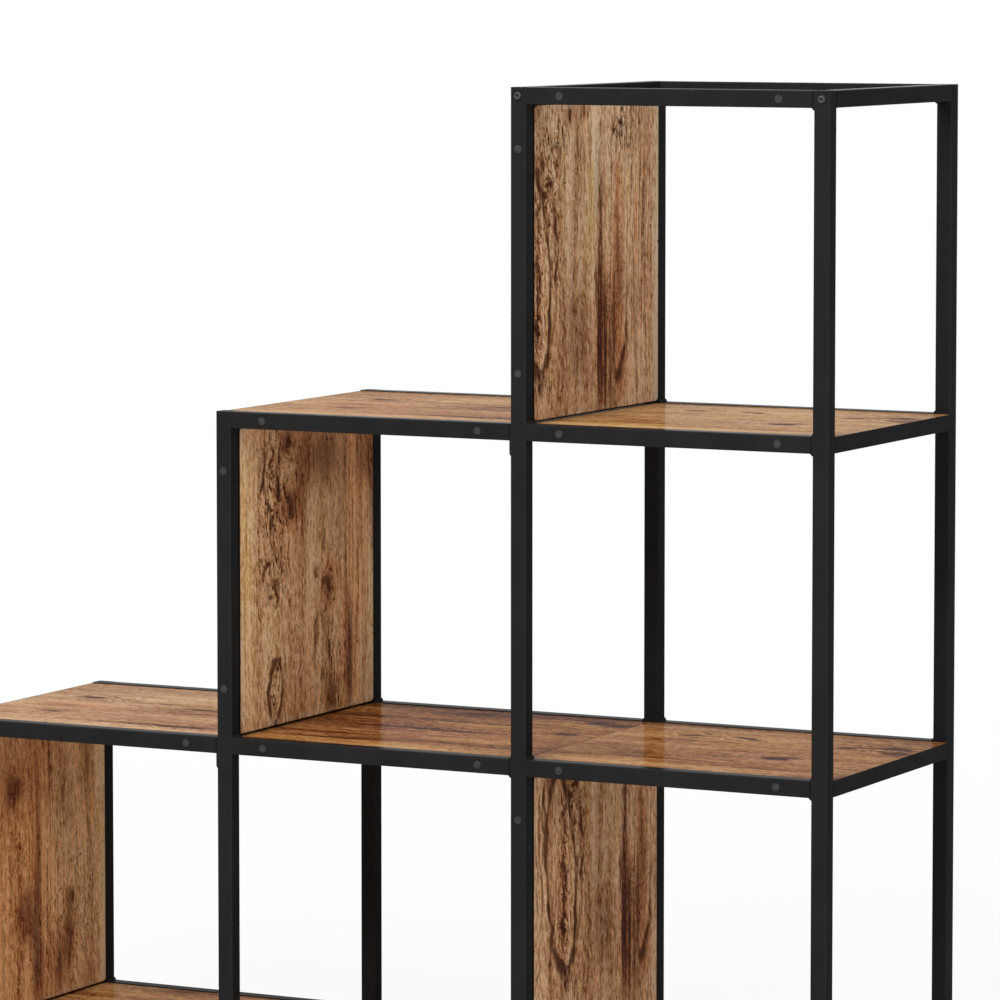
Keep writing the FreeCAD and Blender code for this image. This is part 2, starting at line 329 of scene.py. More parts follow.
def woodMaterial():
    # rustic board. Attributes come with each mesh: "grain" is (across, along, depth), bent round
    # the knots, "flaws" is (shade, knot, checks) and "tints" is (warm, grey, lines), soft fields
    # that the noises fray, "relief" is (crack, ridge, distance from the board's edge in mm),
    # "lift" makes a whole board paler, "gold" makes it more golden, "speckle" is the strength
    # of its fine texture and "cloud" is a soft darker zone.
    look = woodLook
    material, wire = startMaterial("rusticWood")
    grain = wire.attribute("grain", "Vector")
    shade, knot, checks = wire.attribute("flaws", "Vector").split()
    warm, grey, lines = wire.attribute("tints", "Vector").split()
    crack, ridge, border = wire.attribute("relief", "Vector").split()
    lift, gold, speckle, cloud = (wire.attribute(name) for name in ("lift", "gold", "speckle", "cloud"))
    slanted = grain.node("VectorRotate", {"rotation_type": "Z_AXIS"},
                         {"Vector": grain, "Angle": look["lean"]})
    broad = woodNoise(grain, "broad")
    bands = woodNoise(grain, "bands")
    stripes = woodNoise(grain, "stripes")
    fibres = woodNoise(grain, "fibres")
    mottle = woodNoise(grain, "mottle")
    crust = woodNoise(grain, "crust")
    beside = woodNoise(grain.moved(look["ridge"]), "crust")
    strokes = woodNoise(slanted, "strokes")

    # tan wood: slow bands, stripes, fine fibres, mottling, and ridges with their shadows
    ridges = crust - beside
    fine = stripes * 0.35 + fibres * 0.5 + mottle * 1.8 + ridges * 0.8
    rough = mottle * 0.9 + ridges * 2.8
    tone = (lift + look["middle"] + broad * 0.8 + bands * (0.2 + speckle * 0.6) + fine * speckle
            + rough * checks + stripes * lines * 1.5 + ridge * 0.16 - crack * 0.14 - shade * 0.30
            - knot * 0.15 - cloud * (0.22 + stripes * 0.9))
    stops = [(place, linear(colour)) for place, colour in look["tones"]]
    wood = wire.node("ValToRGB", {"stops": stops}, {"Fac": tone})

    # zones of reddish, yellowish and weathered grey wood
    hue = warm + cloud * 0.6 + bands * 2.2 + mottle * 1.2
    wood = hue.step(*look["hueEdges"]).blend(wood, look["warm"], "MULTIPLY")
    wood = (hue * -1).step(*look["hueEdges"]).blend(wood, look["yellow"], "MULTIPLY")
    veil = (grey + crust * 1.6 + bands * 1.5).step(*look["greyEdges"])
    wood = veil.blend(wood, look["grey"], "MULTIPLY")
    wood = gold.blend(wood, look["gold"], "MULTIPLY")

    # soft purplish stains
    stain = markMask("stain", cloud * (0.8 + bands * 2.2 + mottle * 1.4))
    wood = printMark(stain, wood, "stain")

    # dark streaks: bundles of stripes with frayed edges
    _, edges, cover = look["marks"]["streak"]
    ragged = shade * (0.7 + stripes * 5.0) + mottle * 2.4 + crust * 0.9
    streak = ragged.step(*edges) * (cover + stripes)
    wood = printMark(streak, wood, "streak")

    # mottled knots, long cracks, ragged bark and short slanted strokes
    core = markMask("knot", knot * (0.45 + mottle * 7.0 + crust * 5.0))
    wood = printMark(core, wood, "knot")
    gaps = markMask("crack", crack * (0.75 + mottle * 5.0 + crust * 3.5))
    wood = printMark(gaps, wood, "crack")
    bark = markMask("bark", crust + mottle * 0.8 + checks * 0.12) * checks.step(*look["barkChecks"])
    wood = printMark(bark, wood, "bark")
    marks = markMask("stroke", strokes + mottle * 0.2 + checks * 0.12)
    wood = printMark(marks, wood, "stroke")

    # painted shade darkens the rim in its joints, and a painted highlight makes a pale strip just inside
    strip = border.step(*look["highlightFrom"]) * (1 - border.step(*look["highlightTo"]))
    arrisHighlight = strip * markMask("arrisHighlight", mottle * 3 + bands * 4)
    wood = printMark(arrisHighlight, wood, "arrisHighlight")
    rim = 1 - border.step(*look["jointShadeTo"])
    wood = rim.blend(wood, linear(look["rim"]))

    height = (fibres * 0.3 + mottle * 0.5 + ridges * 0.5 - streak * 0.2 - core * 0.3 - bark * 0.4
              - gaps * 0.5)
    bump = wire.node("Bump", None, {"Strength": look["bumpStrength"], "Distance": look["bumpDepth"],
                                    "Height": height})
    roughness = look["roughness"] + streak * look["streakRoughness"]
    finishMaterial(wire, {"Base Color": wood, "Roughness": roughness, "Specular IOR Level": 0.0,
                          "Coat Weight": (1 - marks) * look["coat"],
                          "Coat Roughness": look["coatRoughness"], "Coat IOR": look["coatIor"],
                          "Normal": bump})
    return material


steel = steelMaterial()
greyCap = plasticMaterial("greyCap", tone=(60, 60, 60), roughness=0.42)
blackPlastic = plasticMaterial("blackPlastic", tone=(33, 33, 34), roughness=0.4)
zinc = zincMaterial()
rusticWood = woodMaterial()
print("materials made")


# Mesh helpers

def addPiece(name, points, faces, material, slot, replaced):
    # a new mesh object that rides on the unit and stands for its CAD nodes. A square with two
    # corners in the same point, as at a pole, becomes a triangle.
    mesh = bpy.data.meshes.new(name)
    mesh.from_pydata(points.tolist(), [], [list(dict.fromkeys(face)) for face in faces.tolist()])
    mesh.polygons.foreach_set("use_smooth", np.full(len(mesh.polygons), True))
    mesh.materials.append(material)
    piece = bpy.data.objects.new(name, mesh)
    bpy.context.scene.collection.objects.link(piece)
    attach(piece, "root")
    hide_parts(*replaced)
    return piece


def addNumber(piece, label, values):
    attribute = piece.data.attributes.new(label, "FLOAT", "POINT")
    attribute.data.foreach_set("value", values.astype(np.float32))


def addVector(piece, label, parts):
    attribute = piece.data.attributes.new(label, "FLOAT_VECTOR", "POINT")
    attribute.data.foreach_set("vector", np.stack(parts, 1).astype(np.float32).ravel())


def latticeSkin(lines):
    # the skin of a block that is cut by lattice lines along X, Y and Z: the points on its six
    # sides, and the squares between them, facing outwards
    counts = [len(line) for line in lines]
    index = np.arange(np.prod(counts)).reshape(counts)
    squares = []
    for axis in range(3):
        for end in (0, -1):
            side = np.take(index, end, axis)
            corners = np.stack([side[:-1, :-1], side[1:, :-1], side[1:, 1:], side[:-1, 1:]], -1)
            outward = (end == -1) != (axis == 1)
            squares.append(corners.reshape(-1, 4)[:, ::1 if outward else -1])
    used, faces = np.unique(np.concatenate(squares), return_inverse=True)
    places = np.unravel_index(used, counts)
    points = np.stack([np.asarray(line)[place] for line, place in zip(lines, places)], 1)
    return points, faces.reshape(-1, 4)


def easedLines(low, high, step, radius):
    # lattice lines with a few close ones at both ends, where the edge turns: radius · tan(angle)
    turn = radius * np.tan(np.radians([45, 30, 15]))
    count = max(2, round((high - low) / step) + 1)
    middle = np.linspace(low + radius, high - radius, count)
    return np.concatenate([low + radius - turn, middle, high - radius + turn[::-1]])


def easeEdges(points, low, high, radius):
    # each point of a block's skin goes to the nearest point of the inner block, plus the radius
    inner = np.clip(points, np.asarray(low) + radius, np.asarray(high) - radius)
    outward = points - inner
    return inner + outward * (radius / np.linalg.norm(outward, axis=1, keepdims=True))


def noiseField(across, along, cell, seed):
    # smooth random heights, 0 to 1: random values on a grid of cells, blended by 3t² − 2t³
    count = 97    # the table repeats after so many cells
    table = np.random.default_rng(seed).random((count, count))
    u, v = across / cell[0], along / cell[1]
    i, j = np.floor(u).astype(int), np.floor(v).astype(int)
    s, t = u - i, v - j
    s, t = s * s * (3 - 2 * s), t * t * (3 - 2 * t)
    left, right, low, high = i % count, (i + 1) % count, j % count, (j + 1) % count
    near = table[left, low] * (1 - s) + table[right, low] * s
    far = table[left, high] * (1 - s) + table[right, high] * s
    return near * (1 - t) + far * t


# Wooden boards

boardShape = {
    "panelArris": 1.5 * millimetre,
    "shelfArris": 0.6 * millimetre,
    "acrossStep": 2.4 * millimetre,
    "alongStep": 5.0 * millimetre,
    "thickStep": 3.0 * millimetre,
    "fibreDepth": 0.10 * millimetre,   # hollows between the fibres
    "streakDepth": 0.16 * millimetre,  # dark streaks lie a little lower
    "knotDepth": 0.22 * millimetre,
    "crackDepth": 0.3 * millimetre,
    "ridgeAside": 6.0,                 # mm from a crack to the pale ridge at its front
    "grainSway": 9.0,                  # mm that the grain wanders from side to side
    "crackSway": 12.0,                 # mm that cracks and rings wander
    "ringLeast": 0.3,                  # a ring's strength in its faintest patches
    "ringMore": 1.4,                   # and how much more it is in its strongest
    "knotPush": 0.6,                   # share of its distance that grain beside a knot moves out
    "knotLength": 2.2,                 # a knot's length along the grain over its width
    "coreShare": 0.55,                 # share of a knot's radius that is its dark core
    "shelfSpeckle": 0.48,              # the shelves' texture is calmer than the panels'
    "shelfSpread": 0.6,                # and their print is wider across the grain
    "postJoint": 0.75,                 # share of the distance from a post that counts for the painted joint shade
    "calmEdge": 4.0 * millimetre,      # no hollows this close to an edge
    # noises of the boards' meshes: (across, along) size of a cell in mm, and what the seed rises by
    "noises": {"sway": ((60, 160), 0), "fibres": ((6, 90), 1), "fine": ((3.2, 40), 2),
               "wander": ((15, 14), 3), "patches": ((8, 17), 4)},
}

# Shades, the dark streaks, are (across, along, half width, half length, lean, strength), in mm from a
# board's lower front corner, or from its left front corner on a shelf; a negative strength is pale
# sapwood. Clouds are soft darker zones, checks are fields of short black marks, cracks are crisp dark
# lines, and warm, grey and lines are zones of redder, greyer and more striped wood, all written like
# the shades. Knots are (across, along, radius, strength), and rings are (across, along, half width,
# half length, lean, line's half width, strength).
streakedPrint = {
    "seed": 11,
    "shades": [
        (178, 105, 8, 105, 0.00, 1.6), (193, 70, 5, 95, 0.00, 0.85), (206, 75, 5, 105, 0.00, 0.75),
        (217, 90, 4, 110, 0.00, 0.7), (226, 180, 5, 80, 0.00, 0.5), (10, 150, 14, 80, 0.00, 0.3),
        (181, 245, 3.5, 42, 0.02, 0.7), (166, 155, 5, 40, 0.00, 0.5), (228, 205, 5, 70, -0.04, 0.45),
        (236, 160, 5, 45, 0.05, 0.4), (233, 52, 11, 40, 0.22, 0.4), (10, 140, 6, 60, 0.00, 0.35),
        (18, 40, 8, 14, 0.00, 0.7), (60, 190, 22, 80, 0.00, 0.22), (20, 290, 22, 90, 0.00, 0.35),
        (92, 357, 14, 16, 0.00, 0.7), (132, 362, 12, 12, 0.00, 0.6), (120, 90, 30, 60, 0.00, 0.3),
        (135, 240, 14, 90, 0.00, 0.16), (277, 150, 2.5, 120, 0.00, 0.35), (294, 120, 2, 90, 0.00, 0.3),
        # the pale strip at 338 mm across, with the grey and yellow zones beside it, is painted light from the
        # open back
        (318, 230, 4, 160, 0.00, 0.3), (338, 180, 11, 300, 0.00, -1.3), (62, 320, 8, 60, 0.00, -0.25),
        (100, 240, 16, 90, 0.00, -0.2), (250, 250, 18, 70, 0.00, -0.2), (300, 60, 14, 80, 0.00, -0.15),
        (160, 330, 14, 60, 0.00, -0.2)],
    "clouds": [(186, 268, 12, 26, 0.00, 0.3), (118, 80, 26, 50, 0.00, 0.2), (190, 90, 18, 110, 0.00, 0.35),
               (238, 46, 12, 34, 0.20, 0.5), (50, 225, 8, 50, 0.00, 0.3)],
    "knots": [(36, 262, 16, 0.55), (186, 268, 10, 0.3), (14, 112, 10, 0.7), (60, 300, 12, 0.4)],
    "checks": [
        (236, 336, 26, 24, 0.00, 1.3), (40, 285, 26, 60, 0.00, 0.85), (70, 330, 20, 36, 0.00, 0.6),
        (12, 150, 16, 80, 0.00, 1.0), (30, 60, 18, 30, 0.00, 0.8), (60, 180, 16, 40, 0.00, 0.4)],
    "cracks": [
        (43, 278, 6, 4, 0.00, 0.9), (43, 256, 3, 10, -1.10, 0.9), (59, 222, 3, 20, -0.25, 0.8),
        (60, 180, 3, 18, 0.20, 0.7), (8, 190, 4, 8, 0.00, 0.8), (14, 165, 3, 16, 0.00, 0.9),
        (7, 113, 5, 7, 0.00, 1.3), (10, 145, 3, 12, 0.30, 0.8), (20, 225, 4, 12, -0.40, 0.8),
        (12, 250, 4, 10, 0.60, 0.8), (24, 300, 3, 12, 0.30, 0.6), (30, 325, 3, 10, -0.40, 0.6),
        (184, 340, 2.5, 16, -0.10, 0.7), (178, 264, 2.5, 9, 0.00, 0.9), (250, 95, 5, 14, 0.20, 1.0),
        (238, 66, 6, 12, 0.40, 1.0), (228, 42, 7, 12, 0.20, 0.9), (166, 160, 2.5, 14, 0.00, 0.7),
        (94, 358, 9, 9, 0.00, 0.7), (236, 362, 6, 4, 0.00, 0.9), (232, 347, 4, 4, -0.60, 0.9),
        (212, 336, 4, 4, 0.00, 1.0), (248, 350, 4, 5, -0.60, 0.8), (246, 326, 4, 4, 0.00, 0.8),
        (-40, 250, 2.5, 70, 0.00, 0.9), (-52, 240, 2.5, 60, 0.03, 0.8), (-61, 190, 2.5, 80, 0.00, 0.7),
        (-46, 130, 2.5, 50, -0.05, 0.7), (-56, 60, 2.5, 40, 0.08, 0.7), (-22, 90, 2.5, 40, 0.05, 0.6)],
    "rings": [(6, 175, 38, 124, -0.10, 3.8, 1.1), (6, 185, 54, 128, -0.08, 2.4, 0.4)],
    "warm": [(226, 190, 10, 110, 0.00, 1.7), (188, 110, 22, 120, 0.00, 0.6), (10, 150, 13, 80, 0.00, 1.2),
             (60, 200, 8, 60, 0.00, 0.6), (137, 350, 16, 30, 0.00, 0.7), (240, 60, 14, 50, 0.00, 0.7),
             (290, 200, 40, 160, 0.00, 0.35), (75, 250, 20, 80, 0.00, -0.5), (150, 230, 20, 90, 0.00, -0.6),
             (334, 190, 8, 200, 0.00, -0.4), (35, 180, 14, 120, 0.00, -0.4)],
    "grey": [(118, 80, 26, 50, 0.00, 0.9), (174, 285, 13, 60, 0.00, 0.9), (100, 160, 26, 70, 0.00, 0.5),
             (338, 190, 11, 260, 0.00, 1.7), (60, 300, 26, 60, 0.00, 0.4), (225, 330, 22, 24, 0.00, 0.3)],
    "lines": [(290, 190, 38, 200, 0.00, 0.9), (195, 120, 26, 160, 0.00, 0.9), (150, 330, 40, 50, 0.00, 0.4)],
}

knottyPrint = {
    "seed": 29,
    "shades": [
        (14, 200, 24, 300, 0.00, -1.0), (52, 300, 6, 60, 0.05, 0.55), (118, 345, 16, 16, 0.00, 0.25),
        (126, 268, 24, 22, 0.00, 0.25),
        (92, 300, 6, 30, -0.10, 0.6), (98, 330, 4, 24, 0.10, 0.5), (62, 190, 5, 16, 0.60, 0.7),
        (223, 165, 17, 22, 0.00, 0.25), (218, 125, 8, 30, 0.00, 0.3), (192, 106, 6, 36, 0.18, 0.4),
        (190, 185, 5, 14, -0.40, 0.5), (212, 220, 5, 20, -0.20, 0.4), (72, 45, 5, 24, 0.25, 0.7),
        (92, 72, 16, 5, 0.00, 0.6), (104, 30, 5, 26, 0.10, 0.6), (82, 20, 8, 10, 0.00, 0.5),
        (178, 320, 12, 45, 0.00, 0.25), (215, 325, 50, 50, 0.00, 0.4), (268, 330, 6, 50, 0.00, 0.25),
        (304, 325, 24, 50, 0.00, 0.25), (330, 310, 6, 60, 0.00, 0.35), (336, 250, 6, 80, 0.00, 0.3),
        (262, 190, 20, 110, 0.00, 0.15), (276, 45, 11, 58, 0.00, 0.5), (232, 20, 14, 18, 0.00, 0.3),
        (228, 70, 6, 30, -0.15, 0.5), (160, 60, 40, 60, 0.00, 0.15), (325, 60, 10, 60, 0.00, 0.3),
        (165, 240, 26, 60, 0.00, -0.15), (306, 210, 10, 50, 0.00, -0.3), (60, 110, 24, 60, 0.00, -0.2)],
    "clouds": [(126, 268, 21, 24, 0.00, 0.85), (118, 348, 16, 20, 0.00, 0.9), (224, 162, 17, 22, 0.00, 0.85),
               (277, 70, 11, 85, 0.00, 0.9), (228, 25, 20, 32, 0.00, 0.9), (205, 325, 44, 34, 0.00, 0.65),
               (316, 315, 24, 40, 0.00, 0.7), (338, 260, 6, 100, 0.00, 0.6), (192, 108, 8, 32, 0.12, 0.6),
               (152, 300, 15, 50, 0.00, 0.45), (90, 195, 30, 30, 0.00, 0.25), (85, 215, 40, 100, 0.00, 0.2)],
    "knots": [(120, 345, 14, 0.3), (128, 268, 19, 0.4), (84, 272, 12, 0.4), (100, 230, 4, 1.3),
              (223, 166, 18, 0.3), (84, 162, 9, 0.5), (90, 45, 14, 0.35)],
    "checks": [
        (74, 300, 24, 66, 0.00, 0.9), (118, 330, 20, 34, 0.00, 0.7), (108, 262, 34, 24, 0.00, 0.6),
        (96, 185, 26, 40, 0.00, 0.8), (85, 45, 22, 38, 0.00, 0.95), (60, 200, 20, 90, 0.00, 0.4),
        (225, 160, 22, 40, 0.00, 0.5), (250, 60, 50, 50, 0.00, 0.35)],
    "cracks": [
        (60, 325, 3, 26, -0.10, 0.9), (57, 296, 3, 12, 0.50, 0.9), (79, 322, 3.5, 18, 0.00, 1.0),
        (100, 330, 3, 14, 0.00, 0.9), (120, 345, 10, 10, 0.30, 0.65), (94, 290, 5, 18, 0.00, 1.1),
        (114, 287, 4, 12, -0.50, 1.1), (129, 268, 12, 13, 0.00, 0.85), (76, 268, 8, 5, 0.90, 1.0),
        (88, 256, 4, 9, 0.50, 0.9), (100, 217, 6, 4, 0.00, 0.8), (70, 200, 10, 3.5, 0.00, 0.9),
        (90, 206, 9, 3.5, 0.00, 0.9), (106, 195, 4, 9, -0.30, 1.0), (64, 190, 4, 6, 0.80, 0.8),
        (77, 161, 9, 3.5, 0.00, 0.9), (90, 156, 4, 9, 0.00, 1.1), (126, 148, 4, 5, 0.00, 0.9),
        (188, 178, 5, 6, -0.50, 1.0), (212, 222, 2.5, 18, 0.00, 0.7), (208, 167, 5, 7, 0.00, 1.0),
        (224, 160, 12, 12, 0.00, 0.4), (190, 105, 3, 28, 0.12, 0.7), (222, 82, 3, 24, -0.30, 0.7),
        (207, 50, 5, 10, 0.00, 0.5), (232, 20, 12, 14, 0.00, 0.3), (104, 25, 4, 22, 0.10, 0.7),
        (74, 60, 3.5, 16, 0.30, 1.0), (92, 80, 9, 4, 0.00, 1.0), (73, 28, 3, 14, -0.20, 0.7),
        (150, 60, 2.5, 16, 0.00, 0.6), (300, 335, 2.5, 22, 0.00, 0.5)],
    "rings": [(90, 44, 17, 38, 0.05, 3.2, 0.5), (93, 52, 24, 56, 0.04, 2.2, 0.25)],
    "warm": [(170, 190, 300, 400, 0.00, 0.15), (222, 166, 26, 30, 0.00, 0.9),
             (132, 268, 26, 26, 0.00, 0.9), (300, 200, 34, 180, 0.00, 0.7),
             (275, 60, 20, 60, 0.00, 0.9), (305, 325, 30, 60, 0.00, 0.7),
             (20, 190, 24, 200, 0.00, -0.65), (100, 100, 60, 80, 0.00, -0.5),
             (180, 230, 40, 90, 0.00, -0.3), (150, 40, 60, 40, 0.00, 0.3), (335, 120, 12, 110, 0.00, -0.5)],
    "grey": [(220, 320, 60, 44, 0.00, 0.8), (120, 320, 30, 30, 0.00, 0.5), (170, 180, 24, 60, 0.00, 0.3)],
    "lines": [(300, 200, 44, 200, 0.00, 1.0), (20, 190, 24, 200, 0.00, 0.5)],
}

ruddyPrint = {
    "seed": 47,
    "shades": [
        (121, 284, 17, 20, 0.00, 0.3), (105, 280, 5, 30, 0.00, 0.3), (174, 235, 9, 130, 0.00, 0.25),
        (178, 170, 6, 60, 0.00, 0.3), (150, 310, 14, 60, 0.00, 0.2), (240, 300, 9, 26, 0.00, 0.3),
        (228, 262, 12, 22, 0.40, 0.3), (256, 128, 9, 12, 0.00, 0.3), (250, 62, 9, 46, 0.05, 0.3),
        (130, 120, 9, 20, 0.00, 0.3), (150, 95, 22, 14, -0.50, 0.3), (225, 35, 14, 40, 0.00, 0.4),
        (236, 170, 4, 50, 0.00, 0.4), (205, 60, 10, 50, 0.00, 0.3), (172, 30, 10, 30, 0.00, 0.4),
        (130, 190, 6, 26, 0.20, 0.5), (300, 100, 10, 50, 0.00, 0.3), (280, 300, 16, 50, 0.00, 0.25),
        # the pale strip at 335 mm across, with the grey and yellow zones beside it, is painted light from the
        # open back
        (335, 200, 12, 260, 0.00, -1.2), (196, 230, 8, 60, 0.00, -0.35), (212, 210, 5, 70, 0.00, -0.3),
        (275, 200, 24, 70, 0.00, -0.2), (60, 200, 14, 140, 0.00, 0.3), (30, 120, 10, 90, 0.00, 0.5)],
    "clouds": [(122, 282, 17, 22, 0.00, 0.8), (150, 118, 28, 40, 0.00, 1.0), (174, 40, 18, 56, 0.00, 1.0),
               (252, 128, 12, 15, 0.00, 0.7), (250, 76, 14, 42, 0.00, 1.0), (226, 45, 14, 55, 0.00, 0.7),
               (250, 245, 20, 44, 0.00, 0.5), (177, 200, 8, 100, 0.00, 0.8), (295, 300, 18, 64, 0.00, 0.45),
               (100, 290, 20, 90, 0.00, 0.55), (215, 320, 24, 50, 0.00, 0.35), (60, 150, 30, 80, 0.00, 0.5),
               (170, 320, 26, 50, 0.00, 0.35), (300, 20, 20, 26, 0.00, 0.5)],
    "knots": [(122, 284, 15, 0.35), (256, 128, 9, 0.3), (128, 205, 8, 0.4), (50, 70, 14, 0.7)],
    "checks": [
        (130, 200, 30, 50, 0.00, 0.3), (170, 80, 60, 60, 0.00, 0.45), (270, 120, 50, 80, 0.00, 0.45)],
    "cracks": [
        (121, 284, 13, 14, 0.00, 0.35), (256, 128, 7, 8, 0.00, 0.4), (150, 95, 12, 5, 0.00, 0.4),
        (130, 120, 6, 14, 0.00, 0.4), (236, 262, 4, 20, 0.30, 0.6), (225, 35, 8, 26, 0.00, 0.5),
        (250, 62, 5, 34, 0.05, 0.35), (172, 40, 5, 26, 0.00, 0.4), (128, 205, 6, 6, 0.00, 0.5),
        (300, 210, 3, 20, 0.20, 0.6), (205, 300, 3, 16, 0.00, 0.6)],
    "rings": [(128, 205, 16, 40, 0.00, 2.4, 0.3)],
    "warm": [(170, 190, 300, 400, 0.00, 0.20), (110, 200, 60, 120, 0.00, 0.7),
             (180, 220, 20, 130, 0.00, 0.8), (60, 120, 30, 120, 0.00, 0.5),
             (240, 260, 30, 90, 0.00, -0.3), (330, 200, 14, 220, 0.00, -0.5), (150, 40, 60, 40, 0.00, 0.4)],
    "grey": [(333, 200, 10, 220, 0.00, 0.7), (270, 120, 40, 70, 0.00, 0.4), (40, 200, 20, 80, 0.00, 0.3)],
    "lines": [(190, 200, 50, 200, 0.00, 0.8), (60, 240, 40, 120, 0.00, 0.5), (300, 260, 30, 110, 0.00, 0.4)],
}

# On the shelves, across runs from the front rail to the rear one and along runs to the right
shelfPrintRight = {
    "seed": 61,
    "shades": [
        (258, 100, 10, 16, 0.30, 0.7), (262, 175, 8, 24, -0.40, 0.8), (128, 272, 14, 18, 0.00, 0.9),
        (165, 205, 7, 18, 0.00, 0.5), (74, 130, 5, 70, 0.00, 0.5), (100, 105, 26, 40, 0.00, 0.35),
        (245, 315, 10, 16, 0.50, 0.7), (262, 372, 14, 22, -0.30, 0.8), (225, 385, 14, 16, 0.00, 0.9),
        (120, 200, 5, 30, 0.00, 0.4), (48, 250, 6, 90, 0.00, 0.3), (60, 40, 10, 40, 0.00, 0.5),
        (310, 120, 14, 80, 0.00, -0.4), (200, 230, 26, 90, 0.00, -0.3), (30, 200, 14, 160, 0.00, -0.35),
        (180, 60, 30, 50, 0.00, -0.15), (300, 260, 10, 90, 0.00, 0.2), (150, 330, 12, 60, 0.00, 0.2)],
    "clouds": [],
    "knots": [(128, 272, 13, 0.7), (262, 176, 9, 0.6), (226, 385, 12, 0.8), (100, 112, 9, 0.5)],
    "checks": [(258, 140, 24, 60, 0.00, 0.6), (250, 360, 30, 50, 0.00, 0.6), (130, 270, 24, 40, 0.00, 0.4)],
    "cracks": [(258, 100, 4, 12, 0.40, 0.8), (262, 175, 4, 18, -0.40, 0.8), (245, 315, 5, 12, 0.50, 0.8),
               (262, 372, 6, 16, -0.30, 0.9), (128, 272, 8, 10, 0.00, 0.8)],
    "rings": [],
    "warm": [(170, 200, 500, 600, 0.00, -0.60), (128, 250, 30, 60, 0.00, 0.6),
             (60, 200, 20, 160, 0.00, -0.5), (220, 120, 40, 90, 0.00, -0.4)],
    "grey": [(180, 90, 60, 70, 0.00, 0.4), (310, 200, 30, 160, 0.00, 0.4)],
    "lines": [(60, 200, 40, 220, 0.00, 0.3), (200, 240, 40, 120, 0.00, 0.3)],
}

shelfPrintMiddle = {
    "seed": 83,
    "shades": [
        (165, 180, 12, 100, -0.04, 0.5), (145, 60, 14, 90, 0.00, 0.5), (118, 250, 5, 70, 0.00, 0.35),
        (50, 110, 10, 90, 0.00, 0.55), (62, 150, 12, 40, 0.00, 0.35), (305, 170, 8, 22, 0.00, 0.5),
        (200, 350, 12, 20, 0.00, 0.8), (300, 345, 14, 16, 0.00, 0.8), (290, 380, 12, 20, 0.00, 0.8),
        (60, 330, 6, 40, 0.00, 0.45), (90, 60, 8, 60, 0.00, 0.5), (240, 260, 6, 60, 0.00, 0.3),
        (280, 100, 24, 90, 0.00, -0.25), (220, 200, 16, 90, 0.00, -0.25), (30, 230, 14, 120, 0.00, -0.35),
        (90, 300, 16, 70, 0.00, -0.3)],
    "clouds": [],
    "knots": [(200, 352, 13, 0.6), (306, 172, 8, 0.5), (300, 350, 10, 0.6)],
    "checks": [(170, 170, 20, 60, 0.00, 0.5), (300, 350, 30, 40, 0.00, 0.5), (60, 330, 20, 40, 0.00, 0.4)],
    "cracks": [(165, 180, 4, 70, -0.04, 0.45), (50, 110, 4, 60, 0.00, 0.45), (300, 345, 7, 10, 0.00, 0.9)],
    "rings": [],
    "warm": [(170, 200, 500, 600, 0.00, -0.80), (150, 120, 50, 140, 0.00, 0.8),
             (60, 100, 26, 100, 0.00, 0.6), (250, 300, 40, 90, 0.00, -0.4)],
    "grey": [(230, 180, 50, 80, 0.00, 0.3), (30, 260, 20, 120, 0.00, 0.4)],
    "lines": [(140, 140, 60, 160, 0.00, 0.4), (260, 200, 40, 160, 0.00, 0.2)],
}

shelfPrintLeft = {
    "seed": 97,
    "shades": [
        (225, 68, 10, 22, 0.00, 0.7), (228, 92, 6, 14, 0.50, 0.7), (182, 255, 7, 34, 0.00, 0.7),
        (148, 70, 16, 34, 0.00, 0.5), (95, 88, 16, 24, 0.00, 0.5), (45, 240, 8, 80, 0.00, 0.6),
        (40, 320, 8, 40, 0.00, 0.6), (75, 250, 10, 60, 0.00, 0.3), (215, 190, 5, 30, 0.00, 0.4),
        (310, 140, 10, 80, 0.00, 0.25), (265, 200, 16, 80, 0.00, -0.25), (120, 200, 20, 90, 0.00, -0.3),
        (60, 140, 12, 60, 0.00, -0.3), (20, 200, 10, 160, 0.00, -0.3)],
    "clouds": [],
    "knots": [(225, 70, 10, 0.5), (182, 262, 8, 0.4), (95, 92, 10, 0.4)],
    "checks": [(228, 90, 22, 50, 0.00, 0.7), (45, 260, 24, 80, 0.00, 0.45)],
    "cracks": [(225, 68, 5, 16, 0.00, 0.9), (228, 92, 4, 10, 0.50, 0.9), (182, 255, 3, 26, 0.00, 0.6)],
    "rings": [],
    "warm": [(150, 100, 40, 80, 0.00, 0.5), (60, 260, 30, 100, 0.00, 0.4), (240, 240, 50, 110, 0.00, -0.4)],
    "grey": [(120, 180, 40, 90, 0.00, 0.4), (300, 160, 30, 120, 0.00, 0.4)],
    "lines": [(180, 230, 60, 140, 0.00, 0.3), (60, 120, 40, 100, 0.00, 0.2)],
}

# Each board: its print, how far the print is moved (across, along) in mm, how much paler the board
# is, and how golden. On the lower shelves the much lower lift is painted shade from the shelf above,
# on top of the board's own tone.
boards = {
    "top_side_panel": (streakedPrint, (0, 0), 0.11, 0.0),
    "right_base_side_panel": (streakedPrint, (70, 69), 0.08, 0.2),
    "middle_side_panel": (knottyPrint, (0, 0), 0.165, 0.65),
    "left_side_panel": (ruddyPrint, (0, 0), 0.22, 1.0),
    "upper_shelf_right": (shelfPrintRight, (0, 0), -0.02, 0.1),
    "lower_shelf_right": (shelfPrintRight, (2, -8), -0.18, 0.4),
    "base_shelf_right": (shelfPrintMiddle, (-20, 30), -0.06, 0.4),
    "upper_shelf_middle": (shelfPrintLeft, (10, 20), -0.015, 0.95),
    "lower_shelf_middle": (shelfPrintMiddle, (0, 0), -0.235, 0.9),
    "base_shelf_middle": (shelfPrintRight, (-14, 40), -0.06, 0.4),
    "lower_shelf_left": (shelfPrintLeft, (0, 0), 0.025, 0.0),
    "base_shelf_left": (shelfPrintMiddle, (24, -30), -0.06, 0.4),
}


